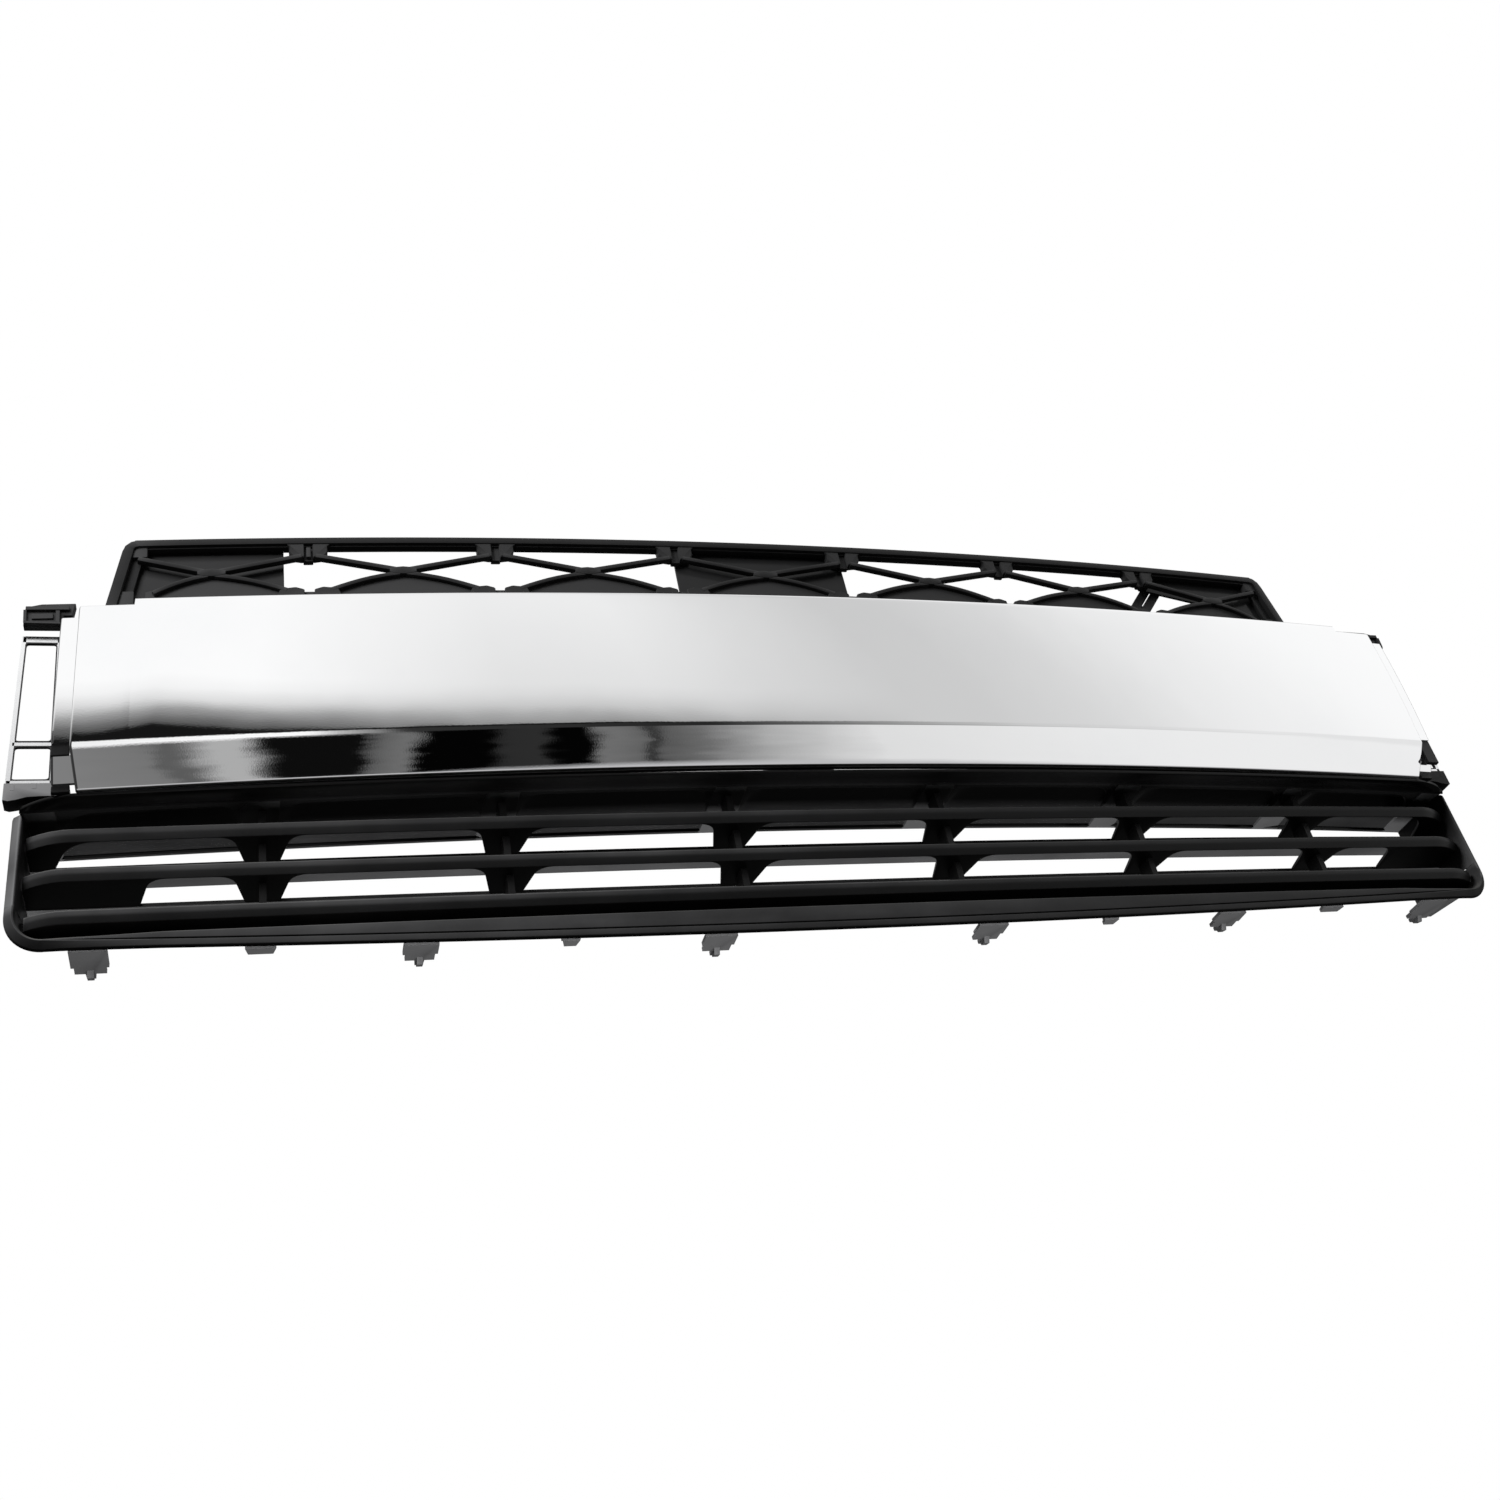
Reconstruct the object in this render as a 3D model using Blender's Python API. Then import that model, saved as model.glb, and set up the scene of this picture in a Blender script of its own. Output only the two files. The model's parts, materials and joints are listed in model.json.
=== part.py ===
"""Front grille assembly of a vehicle: a chrome panel on a carrier, an open lattice above it and a
three-louvre grille below it. Metres, +Z up, -Y is the side seen from in front of the vehicle.
The origin is the middle of the centre mounting bracket's rear face."""

import math

import bmesh
import bpy

# Driving dimensions, in metres
GAP = 0.0004
SWEEP = 0.026
CREASE_HALF = 0.565
CREASE_Y = -0.090
CREASE_Z = -0.060

PANEL_TOP = 0.134
PANEL_END_TOP = 0.128
PANEL_STEP_HALF = 0.527
PANEL_SKIN = 0.003
LOWER_BAND_BACK = 0.018
LOWER_BAND_DOWN = 0.0255

LATTICE_SETBACK = 0.080
LATTICE_DEPTH = 0.010
LATTICE_TOP = 0.268
LATTICE_BOTTOM = 0.186
LATTICE_TOP_HALF = 0.5437
LATTICE_BOTTOM_HALF = 0.5585
LATTICE_RAIL = 0.007
LATTICE_NODES = (-0.4756, -0.321, -0.1627, 0.0, 0.1627, 0.321, 0.4756)
LATTICE_POSTS = (-0.398, -0.241, -0.0805, 0.0805, 0.241, 0.398)
NODE_HEIGHT = 0.230
POST_HALF = 0.0155

FRAME_HALF = 0.604
CORNER_RADIUS = 0.027
NOSE_SETBACK = 0.036
TOP_LIP_SETBACK = 0.033
TOP_RAIL_LEVEL = (-0.0280, 0.0035)
BLADE_REAR = 0.104
RAIL_REAR = 0.065
LOUVRE_HALF = 0.5945
LOUVRE_LEVELS = {
    "louvre_upper": (-0.048, 0.012),
    "louvre_middle": (-0.0795, 0.0145),
    "louvre_lower": (-0.113, 0.014),
}
RIB_CENTRES = (-0.4375, -0.265, -0.0885, 0.0885, 0.265, 0.4375)
RIB_THICKNESS = 0.005
RIB_FRONT, RIB_REAR = 0.050, 0.066
CLIP_THICKNESS = 0.003
# Snap tabs under the bottom rail as (centre, extra length), and locators as (centre, half width)
TABS = ((-0.552, 0.009), (-0.3295, 0.0), (-0.110, 0.0), (0.1135, 0.0), (0.3385, 0.0), (0.562, 0.009))
LOCATORS = ((-0.439, 0.0105), (-0.223, 0.0065), (0.220, 0.0065), (0.444, 0.0105))
BRACKET_CENTRES = {"left": -0.400, "centre": 0.0, "right": 0.400}
SCREW_CENTRES = (-0.360, -0.120, 0.120, 0.360)

CHROME = ("chrome_plate", (0.86, 0.87, 0.88), 0.05, 1.0)
BLACK = ("black_plastic", (0.022, 0.022, 0.023), 0.42, 0.0)
GLOSS = ("gloss_black_plastic", (0.012, 0.012, 0.013), 0.16, 0.0)
PLATED = ("plated_bracket", (0.80, 0.81, 0.82), 0.18, 1.0)
STEEL = ("zinc_steel", (0.55, 0.56, 0.58), 0.35, 1.0)


def clear_scene():
    for item in list(bpy.data.objects):
        bpy.data.objects.remove(item, do_unlink=True)


def material(finish):
    name, colour, roughness, metallic = finish
    found = bpy.data.materials.get(name)
    if found:
        return found
    made = bpy.data.materials.new(name)
    made.use_nodes = True
    shader = made.node_tree.nodes["Principled BSDF"]
    shader.inputs["Base Color"].default_value = (*colour, 1.0)
    shader.inputs["Roughness"].default_value = roughness
    shader.inputs["Metallic"].default_value = metallic
    return made


def front_y(x, setback):
    """Depth of a surface that follows the grille's bow in plan, set back from the chrome's crease."""
    return CREASE_Y - SWEEP * (1 - (x / CREASE_HALF) ** 2) + setback


def dipped(x, end_level, dip):
    """Height of a line that hangs lower in the middle of the grille than at its ends."""
    return CREASE_Z + end_level - dip * (1 - (x / FRAME_HALF) ** 2)


def spaced(start, end, count):
    return [start + (end - start) * i / (count - 1) for i in range(count)]


def add_object(name, bm, finish, smooth=False):
    bmesh.ops.recalc_face_normals(bm, faces=bm.faces)
    mesh = bpy.data.meshes.new(name)
    bm.to_mesh(mesh)
    bm.free()
    item = bpy.data.objects.new(name, mesh)
    bpy.context.scene.collection.objects.link(item)
    if finish:
        mesh.materials.append(material(finish))
    if smooth:
        mesh.shade_smooth()
        mesh.set_sharp_from_angle(angle=math.radians(35))
    return item


def add_rings(bm, rings):
    """Closed skin over a row of rings with equal point counts, capped at both ends."""
    made = [[bm.verts.new(point) for point in ring] for ring in rings]
    for near, far in zip(made, made[1:]):
        for i in range(len(near)):
            j = (i + 1) % len(near)
            bm.faces.new((near[i], near[j], far[j], far[i]))
    bm.faces.new(made[0][::-1])
    bm.faces.new(made[-1])


def loft(name, stations, section, finish, smooth=False):
    """Solid through the (y, z) outline that section(x) gives at each station along X."""
    bm = bmesh.new()
    add_rings(bm, [[(x, y, z) for y, z in section(x)] for x in stations])
    return add_object(name, bm, finish, smooth)


def prism(bm, outline, axis, low, high):
    """Straight prism of a flat outline, added to bm along one axis."""
    spread = {
        "X": lambda a, b, c: (c, a, b),
        "Y": lambda a, b, c: (a, c, b),
        "Z": lambda a, b, c: (a, b, c),
    }[axis]
    add_rings(bm, [[spread(a, b, c) for a, b in outline] for c in (low, high)])


def solid_prism(name, outline, axis, low, high, finish):
    bm = bmesh.new()
    prism(bm, outline, axis, low, high)
    return add_object(name, bm, finish)


def combine(target, name, outlines, axis, low, high, operation):
    """Cuts prisms of the given outlines out of target, or joins them to it."""
    bm = bmesh.new()
    for outline in outlines:
        prism(bm, outline, axis, low, high)
    tool = add_object(name, bm, None)
    tool.hide_render = True
    tool.display_type = "WIRE"
    modifier = target.modifiers.new(name, "BOOLEAN")
    modifier.operation = operation
    modifier.solver = "EXACT"
    modifier.object = tool


def cut(target, name, outlines, axis, low, high):
    combine(target, name, outlines, axis, low, high, "DIFFERENCE")


def circle(centre_a, centre_b, radius, sides=12):
    turn = 2 * math.pi / sides
    return [
        (centre_a + radius * math.cos(i * turn), centre_b + radius * math.sin(i * turn))
        for i in range(sides)
    ]


def mirrored(outline):
    return [(-a, b) for a, b in outline]


def set_back(x, outline):
    """(setback, height) pairs as (y, z) points of a section at x."""
    return [(front_y(x, back), CREASE_Z + height) for back, height in outline]


# Chrome panel, its carrier and the ledge above it


def panel_section(x):
    top = PANEL_END_TOP if abs(x) > PANEL_STEP_HALF else PANEL_TOP
    skin = PANEL_SKIN
    low_y, low_z = LOWER_BAND_BACK, -LOWER_BAND_DOWN
    return set_back(
        x,
        (
            (0.009, top),
            (0.0025, top),
            (0.0004, top - 0.001),
            (-0.0007, top - 0.0035),
            (-0.0018, 0.098),
            (-0.0022, 0.064),
            (-0.0016, 0.030),
            (0.0, 0.0),
            (low_y * 0.5, low_z * 0.54),
            (low_y, low_z),
            (low_y + 0.0032, low_z),
            (low_y + 0.0032, low_z + 0.0022),
            (low_y + 0.0015, low_z + 0.003),
            (low_y * 0.5 + 0.0025, low_z * 0.54 + 0.0022),
            (skin, 0.0012),
            (skin - 0.0016, 0.030),
            (skin - 0.0022, 0.064),
            (skin - 0.0018, 0.098),
            (skin, top - skin - 0.001),
            (0.009, top - skin),
        ),
    )


def make_panel():
    step = PANEL_STEP_HALF
    half = CREASE_HALF + 0.0005
    inner = spaced(-step, step, 21)
    stations = [-half, -0.546, -step - 0.0005, *inner, step + 0.0005, 0.546, half]
    loft("chrome_panel", stations, panel_section, CHROME, smooth=True)


def carrier_section(x):
    return set_back(
        x,
        (
            (0.020, 0.1245),
            (0.0062, 0.1245),
            (0.0040, 0.098),
            (0.0034, 0.064),
            (0.0040, 0.030),
            (0.0058, 0.003),
            (0.0220, -0.0195),
            (0.0340, -0.0195),
            (0.0340, -0.0168),
            (0.0234, -0.0168),
            (0.0088, 0.0040),
            (0.0068, 0.030),
            (0.0062, 0.064),
            (0.0068, 0.098),
            (0.0088, 0.1217),
            (0.020, 0.1217),
        ),
    )


def ledge_section(x):
    return set_back(
        x, ((0.012, 0.1255), (0.0795, 0.1815), (0.0795, 0.186), (0.0125, 0.1297))
    )


# Upper lattice


def lattice_side(height, inset=0.0):
    """Half width of the lattice's sloping end at a height above the crease."""
    share = (LATTICE_TOP - height) / (LATTICE_TOP - LATTICE_BOTTOM)
    return LATTICE_TOP_HALF + (LATTICE_BOTTOM_HALF - LATTICE_TOP_HALF) * share - inset


def upper_opening(node, left, right, left_top=None, right_top=None):
    """Shallow V-bottomed opening above a node."""
    top = LATTICE_TOP - LATTICE_RAIL
    arm = 0.248
    return [
        (left, arm),
        (node - 0.008, NODE_HEIGHT + 0.0035),
        (node + 0.008, NODE_HEIGHT + 0.0035),
        (right, arm),
        (right if right_top is None else right_top, top),
        (left if left_top is None else left_top, top),
    ]


def middle_opening(left_node, post, right_node):
    """Six-sided opening between two nodes, under a post."""
    return [
        (left_node + 0.009, NODE_HEIGHT),
        (post - 0.026, 0.2095),
        (post - 0.005, 0.208),
        (post + 0.005, 0.208),
        (post + 0.026, 0.2095),
        (right_node - 0.009, NODE_HEIGHT),
        (post + 0.003, 0.2445),
        (post - 0.003, 0.2445),
    ]


def lattice_openings():
    rail = 0.011
    found = []
    edges = [None, *LATTICE_POSTS, None]
    for node, left, right in zip(LATTICE_NODES, edges, edges[1:]):
        if left is None:
            low, top = lattice_side(0.248, rail), lattice_side(0.261, rail)
            found.append(
                upper_opening(node, -low, right - POST_HALF, left_top=-top)
            )
        elif right is None:
            low, top = lattice_side(0.248, rail), lattice_side(0.261, rail)
            found.append(
                upper_opening(node, left + POST_HALF, low, right_top=top)
            )
        else:
            found.append(upper_opening(node, left + POST_HALF, right - POST_HALF))
    for post, near, far in zip(LATTICE_POSTS, LATTICE_NODES, LATTICE_NODES[1:]):
        found.append(middle_opening(near, post, far))
    end = [
        (LATTICE_NODES[-1] + 0.010, NODE_HEIGHT),
        (lattice_side(0.210, rail), 0.210),
        (lattice_side(0.243, rail), 0.243),
    ]
    return [*found, end, mirrored(end)[::-1]]


def raised(outline):
    return [(x, CREASE_Z + z) for x, z in outline]


def make_lattice():
    def section(x):
        near, far = LATTICE_SETBACK, LATTICE_SETBACK + LATTICE_DEPTH
        return set_back(
            x,
            (
                (near, LATTICE_TOP),
                (near, LATTICE_BOTTOM),
                (far, LATTICE_BOTTOM),
                (far, LATTICE_TOP),
            ),
        )

    half = LATTICE_BOTTOM_HALF
    lattice = loft("upper_lattice", spaced(-half, half, 25), section, BLACK)
    openings = [raised(outline) for outline in lattice_openings()]
    wedge = raised(
        [
            (lattice_side(LATTICE_BOTTOM - 0.004), LATTICE_BOTTOM - 0.004),
            (0.580, LATTICE_BOTTOM - 0.004),
            (0.580, LATTICE_TOP + 0.004),
            (lattice_side(LATTICE_TOP + 0.004), LATTICE_TOP + 0.004),
        ]
    )
    holes = [circle(x, CREASE_Z + 0.194, 0.003) for x in SCREW_CENTRES]
    cut(
        lattice,
        "lattice_cutter",
        [*openings, wedge, mirrored(wedge), *holes],
        "Y",
        -0.060,
        0.030,
    )


def blank_section(x):
    near = LATTICE_SETBACK + LATTICE_DEPTH + GAP
    far = near + 0.0025
    return set_back(x, ((near, 0.190), (far, 0.190), (far, 0.262), (near, 0.262)))


def make_blanks():
    """Thin plates that close the lattice's openings in three places."""
    loft("lattice_blank_left", spaced(-0.540, -0.418, 6), blank_section, GLOSS)
    loft("lattice_blank_centre", spaced(-0.080, 0.080, 6), blank_section, GLOSS)
    right = loft("lattice_blank_right", spaced(0.400, 0.540, 6), blank_section, GLOSS)
    notch = raised([(0.395, 0.185), (0.486, 0.185), (0.476, 0.232), (0.395, 0.247)])
    cut(right, "right_blank_cutter", [notch], "Y", -0.060, 0.040)


def make_brace():
    """Diagonal channel that stiffens the right-hand end of the lattice from behind."""
    foot, head = (0.3660, 0.199), (0.4330, 0.265)
    half = 0.010
    length = math.dist(foot, head)
    across = ((head[1] - foot[1]) / length, -(head[0] - foot[0]) / length)

    def corner(end, side):
        return (end[0] + across[0] * side, CREASE_Z + end[1] + across[1] * side)

    near = front_y(0.430, LATTICE_SETBACK + LATTICE_DEPTH + 0.0040)
    outline = [corner(foot, -half), corner(foot, half), corner(head, half), corner(head, -half)]
    brace = solid_prism("lattice_brace", outline, "Y", near, near + 0.009, BLACK)
    web = half - 0.0025
    channel = [
        corner((foot[0] - 0.006, foot[1] - 0.011), -web),
        corner((foot[0] - 0.006, foot[1] - 0.011), web),
        corner((head[0] + 0.006, head[1] + 0.011), web),
        corner((head[0] + 0.006, head[1] + 0.011), -web),
    ]
    cut(brace, "brace_cutter", [channel], "Y", near - 0.002, near + 0.0065)


# End brackets and clips


def make_end_pieces(side, sign):
    def at(points):
        turned = [(sign * x, CREASE_Z + z) for x, z in points]
        return turned if sign > 0 else turned[::-1]

    plane = CREASE_Y + 0.040
    bracket = solid_prism(
        f"end_bracket_{side}",
        at([(0.5785, -0.005), (0.6105, -0.005), (0.6085, 0.131), (0.5810, 0.131)]),
        "Y",
        plane,
        plane + 0.0025,
        PLATED,
    )
    windows = [
        at([(0.5815, 0.032), (0.6070, 0.032), (0.6060, 0.125), (0.5830, 0.125)]),
        at([(0.5810, -0.001), (0.6075, -0.001), (0.6070, 0.029), (0.5815, 0.029)]),
    ]
    cut(bracket, f"window_cutter_{side}", windows, "Y", plane - 0.01, plane + 0.01)
    solid_prism(
        f"upper_clip_{side}",
        at([(0.5715, 0.1355), (0.6080, 0.1355), (0.6075, 0.158), (0.5715, 0.158)]),
        "Y",
        CREASE_Y + 0.030,
        CREASE_Y + 0.040,
        BLACK,
    )
    solid_prism(
        f"lower_bracket_{side}",
        at([(0.5675, -0.0055), (0.6105, -0.0055), (0.6105, -0.0235), (0.5675, -0.0235)]),
        "Y",
        CREASE_Y + 0.036,
        CREASE_Y + 0.056,
        BLACK,
    )


# Lower grille


def top_rail_section(x):
    lip = dipped(x, *TOP_RAIL_LEVEL)
    outline = (
        (0.0215, 0.0030),
        (BLADE_REAR, 0.0030),
        (BLADE_REAR, 0.0),
        (0.0370, 0.0),
        (0.0370, -0.0010),
        (TOP_LIP_SETBACK, -0.0012),
        (0.0215, 0.0006),
    )
    return [(front_y(x, setback), lip + rise) for setback, rise in outline]


def corner_rise(x, start, radius):
    """How far a rounded lower corner lifts at x."""
    along = max(0.0, abs(x) - start)
    return radius - math.sqrt(max(0.0, radius**2 - min(along, radius) ** 2))


def rail_bottom(x):
    return dipped(x, -0.1355, 0.0255) + corner_rise(x, FRAME_HALF - CORNER_RADIUS, CORNER_RADIUS - 0.0005)


def bottom_rail_section(x):
    """Upright front face, an underside that slopes up to the back, and a wall up to the louvres."""
    low = rail_bottom(x)
    top = dipped(x, -0.128, 0.014) + corner_rise(x, FRAME_HALF - 0.034, 0.036)
    back = dipped(x, *LOUVRE_LEVELS["louvre_lower"]) - 0.0075
    heel = min(low + 0.0190, max(back, top) - 0.001)
    shelf = max(top, low + 0.85 * (heel - low) + 0.0015)
    wall = max(shelf + 0.003, back)
    outline = (
        (0.036, low + 0.001),
        (0.036, top),
        (0.061, shelf),
        (0.061, wall),
        (RAIL_REAR, wall),
        (RAIL_REAR, heel),
        (0.038, low),
    )
    return [(front_y(x, setback), z) for setback, z in outline]


def make_bottom_rail():
    centre = FRAME_HALF - CORNER_RADIUS
    corner = [centre + CORNER_RADIUS * math.sin(math.radians(a)) for a in range(0, 90, 15)]
    corner = [*corner, FRAME_HALF - 0.0006]
    stations = [*[-x for x in corner[::-1]], *spaced(-0.550, 0.550, 21), *corner]
    loft("frame_bottom_rail", stations, bottom_rail_section, BLACK)


def make_side(side, sign):
    inner, outer = LOUVRE_HALF + GAP, FRAME_HALF
    low, high = sorted((sign * inner, sign * outer))
    heel = [(0.107, -0.0800)]
    if side == "right":
        heel = [(0.0715, -0.1190), (0.125, -0.1100), (0.125, -0.0850)]
    profile = [(0.0385, -0.0320), (0.0385, -0.1015), (0.0700, -0.1015), *heel, (0.107, -0.0320)]
    outline = [(CREASE_Y + back, CREASE_Z + z) for back, z in profile]
    solid_prism(f"frame_side_{side}", outline, "X", low, high, BLACK)


def louvre_section(level, rear):
    def section(x):
        middle = dipped(x, *level)
        outline = (
            (0.046, -0.0024),
            (rear, -0.0024),
            (rear, -0.0052),
            (0.0385, -0.0052),
            (0.0366, -0.0032),
            (0.0360, 0.0),
            (0.0369, 0.0030),
            (0.0395, 0.0045),
            (0.0430, 0.0042),
        )
        return [(front_y(x, setback), middle + rise) for setback, rise in outline]

    return section


def cutout_side(edge, sign, near, far, round_x, round_back):
    """Side of a blade's opening, near edge first, with its front corner rounded off. sign is its inward direction."""
    front, back = 0.0405, 0.076
    turn = round_back / (back - front)
    start = (near + round_x, front)
    corner = (near, front)
    stop = (near + (far - near) * turn, front + round_back)
    found = []
    for t in spaced(0.0, 1.0, 5):
        weights = ((1 - t) ** 2, 2 * t * (1 - t), t**2)
        offset, setback = (sum(w * p[i] for w, p in zip(weights, (start, corner, stop))) for i in (0, 1))
        found.append((edge + sign * offset, setback))
    return [*found, (edge + sign * far, back)]


def blade_cutouts(closed_end):
    """Openings between the ribs, a little wider at the back. The end ones stop short where the end is closed."""
    web = (0.020, 0.012, 0.0125, 0.011)
    end_web = (0.076, 0.068, 0.0125, 0.011) if closed_end else (0.022, 0.010, 0.020, 0.018)
    edges = [-0.588, *RIB_CENTRES, 0.588]
    found = []
    for left, right in zip(edges, edges[1:]):
        left_side = cutout_side(left, 1, *(end_web if left == edges[0] else web))
        right_side = cutout_side(right, -1, *(end_web if right == edges[-1] else web))
        middle = (left_side[0][0] + right_side[0][0]) / 2
        outline = [*left_side[::-1], (middle, 0.0405), *right_side, (middle, 0.076)]
        found.append([(x, front_y(x, setback)) for x, setback in outline])
    return found


def rib_slots():
    """Slots in a blade that the ribs stand in."""
    half = RIB_THICKNESS / 2 + GAP
    found = []
    for x in RIB_CENTRES:
        front, back = front_y(x, RIB_FRONT) - GAP, front_y(x, RIB_REAR) + GAP
        found.append([(x - half, front), (x + half, front), (x + half, back), (x - half, back)])
    return found


def make_louvres():
    for name, level in LOUVRE_LEVELS.items():
        lowest = name == "louvre_lower"
        half = 0.578 if lowest else LOUVRE_HALF
        section = louvre_section(level, 0.086 if lowest else BLADE_REAR)
        blade = loft(name, spaced(-half, half, 25), section, BLACK, smooth=True)
        if not lowest:
            cutouts = blade_cutouts(closed_end=name == "louvre_middle")
            cut(blade, f"{name}_cutter", cutouts + rib_slots(), "Z", CREASE_Z - 0.15, CREASE_Z)


def make_ribs():
    """Upright webs between the top rail and the lowest louvre, standing in slots in the two blades between."""
    for number, x in enumerate(RIB_CENTRES, 1):
        front, back = front_y(x, RIB_FRONT), front_y(x, RIB_REAR)
        roof = dipped(x, *TOP_RAIL_LEVEL) - GAP
        foot = dipped(x, *LOUVRE_LEVELS["louvre_lower"]) - 0.0024 + GAP
        outline = [(front, roof), (front, foot), (back, foot), (back, roof)]
        half = RIB_THICKNESS / 2
        solid_prism(f"rib_{number}", outline, "X", x - half, x + half, BLACK)


def add_clip(name, x, outline):
    """Flat clip under the bottom rail, carried by a riser that lies against the rail's back."""
    y = front_y(x, RAIL_REAR) + GAP + 0.001
    z = rail_bottom(x) + 0.0130
    flat = [(x + a, y + b) for a, b in outline]
    clip = solid_prism(name, flat, "Z", z, z + CLIP_THICKNESS, BLACK)
    riser = [(x - 0.007, y), (x + 0.007, y), (x + 0.007, y + 0.0025), (x - 0.007, y + 0.0025)]
    top = min(z + 0.0125, dipped(x, *LOUVRE_LEVELS["louvre_lower"]) - 0.0052 - GAP)
    combine(clip, f"{name}_riser", [riser], "Z", z + CLIP_THICKNESS / 2, top, "UNION")
    return clip, y, z


def make_clips():
    wide, narrow, pin = 0.0125, 0.0105, 0.0030
    for number, (x, extra) in enumerate(TABS, 1):
        shoulder, step, tip = extra + 0.014, extra + 0.0225, extra + 0.0295
        tab = [(wide, 0.0), (wide, shoulder), (narrow, shoulder), (narrow, step)]
        tab += [(pin + 0.0005, step), (pin, tip)]
        clip, y, z = add_clip(f"bottom_tab_{number}", x, tab + mirrored(tab)[::-1])
        middle = z + CLIP_THICKNESS / 2
        hook = [(y + step - 0.006, middle), (y + step - 0.002, z - 0.0045), (y + tip - 0.003, z - 0.0030)]
        hook += [(y + tip - 0.001, middle)]
        hook_half = pin - 0.0008
        combine(clip, f"bottom_tab_{number}_hook", [hook], "X", x - hook_half, x + hook_half, "UNION")
    for number, (x, half) in enumerate(LOCATORS, 1):
        lug = [(half, 0.0), (half - 0.002, 0.008), (0.002 - half, 0.008), (-half, 0.0)]
        add_clip(f"locator_{number}", x, lug)


# Mounting brackets and screws


def make_mount_brackets():
    """U-shaped brackets that stand off the carrier's back and end in a flat pad at y = 0."""
    for side, x in BRACKET_CENTRES.items():
        wide, skin = 0.030, 0.003
        left, right = x - wide, x + wide
        outline = [
            (left, 0.0),
            (right, 0.0),
            (right, front_y(right, 0.0075)),
            (right - skin, front_y(right - skin, 0.0075)),
            (right - skin, -skin),
            (left + skin, -skin),
            (left + skin, front_y(left + skin, 0.0075)),
            (left, front_y(left, 0.0075)),
        ]
        solid_prism(f"mount_bracket_{side}", outline, "Z", -0.028, 0.032, STEEL)


def make_screws():
    for number, x in enumerate(SCREW_CENTRES, 1):
        face = front_y(x, LATTICE_SETBACK) - 0.0008
        z = CREASE_Z + 0.194
        bm = bmesh.new()
        rings = [(face - 0.003, 0.0048), (face - 0.0006, 0.0055), (face, 0.0055), (face, 0.0026)]
        rings += [(face + 0.014, 0.0026), (face + 0.016, 0.0014)]
        add_rings(bm, [[(a, y, b) for a, b in circle(x, z, r)] for y, r in rings])
        add_object(f"lattice_screw_{number}", bm, STEEL, smooth=True)


def main():
    clear_scene()
    make_panel()
    loft("chrome_carrier", spaced(-0.562, 0.562, 21), carrier_section, BLACK)
    loft("upper_ledge", spaced(-0.556, 0.556, 21), ledge_section, BLACK)
    make_lattice()
    make_blanks()
    make_brace()
    loft("frame_top_rail", spaced(-0.5995, 0.5995, 25), top_rail_section, BLACK)
    make_bottom_rail()
    for side, sign in (("left", -1), ("right", 1)):
        make_end_pieces(side, sign)
        make_side(side, sign)
    make_louvres()
    make_ribs()
    make_clips()
    make_mount_brackets()
    make_screws()


main()
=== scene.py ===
"""The look of the vehicle grille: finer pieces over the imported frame, materials, studio and camera.

Metres, in the row frame: X to the right, Y rearwards, Z up, origin on the centre bracket's rear pad.
Outlines are given as setback (behind the bowed crease line) or depth (behind the crease's ends), and
height above the crease.
"""

import json
import math

import bmesh
import bpy
from mathutils import Matrix, Vector

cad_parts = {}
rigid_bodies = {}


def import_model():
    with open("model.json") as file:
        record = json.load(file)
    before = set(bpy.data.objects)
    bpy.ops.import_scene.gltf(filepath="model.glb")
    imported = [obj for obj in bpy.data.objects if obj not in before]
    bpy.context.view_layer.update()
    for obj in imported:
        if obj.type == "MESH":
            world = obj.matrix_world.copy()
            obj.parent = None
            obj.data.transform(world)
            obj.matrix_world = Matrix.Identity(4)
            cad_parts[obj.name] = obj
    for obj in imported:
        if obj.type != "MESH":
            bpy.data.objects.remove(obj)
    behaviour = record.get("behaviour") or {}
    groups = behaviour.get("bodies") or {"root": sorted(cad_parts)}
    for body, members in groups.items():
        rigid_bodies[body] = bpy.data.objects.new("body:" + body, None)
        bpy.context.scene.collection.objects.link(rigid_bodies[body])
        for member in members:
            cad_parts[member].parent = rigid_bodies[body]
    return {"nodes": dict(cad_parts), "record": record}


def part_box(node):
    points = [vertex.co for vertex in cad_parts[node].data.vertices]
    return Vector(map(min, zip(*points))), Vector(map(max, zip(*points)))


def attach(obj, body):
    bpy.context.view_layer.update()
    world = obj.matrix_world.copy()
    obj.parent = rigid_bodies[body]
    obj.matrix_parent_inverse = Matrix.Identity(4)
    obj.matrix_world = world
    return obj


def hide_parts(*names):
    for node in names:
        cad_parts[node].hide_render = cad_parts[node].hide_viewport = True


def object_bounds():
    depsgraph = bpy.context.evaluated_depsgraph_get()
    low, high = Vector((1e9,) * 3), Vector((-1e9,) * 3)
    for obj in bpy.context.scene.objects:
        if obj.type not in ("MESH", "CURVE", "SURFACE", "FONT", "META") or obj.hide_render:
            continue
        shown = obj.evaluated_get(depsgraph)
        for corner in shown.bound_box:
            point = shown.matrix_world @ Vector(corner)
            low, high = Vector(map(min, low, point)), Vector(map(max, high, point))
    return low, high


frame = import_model()
cad_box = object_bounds()

# The bow in plan, the chrome panel and its crease line
SWEEP = 0.026
PANEL_TOP = 0.134
PANEL_BULGE = 0.0022
panel_low, panel_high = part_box("chrome_panel")
CREASE_HALF = panel_high.x - 0.0005
CREASE_Y = panel_low.y + SWEEP + PANEL_BULGE
CREASE_Z = panel_high.z - PANEL_TOP
PANEL_STEP_HALF = 0.527
PANEL_END_TOP = 0.128
LOWER_BAND = (0.018, -0.0255)

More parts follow.
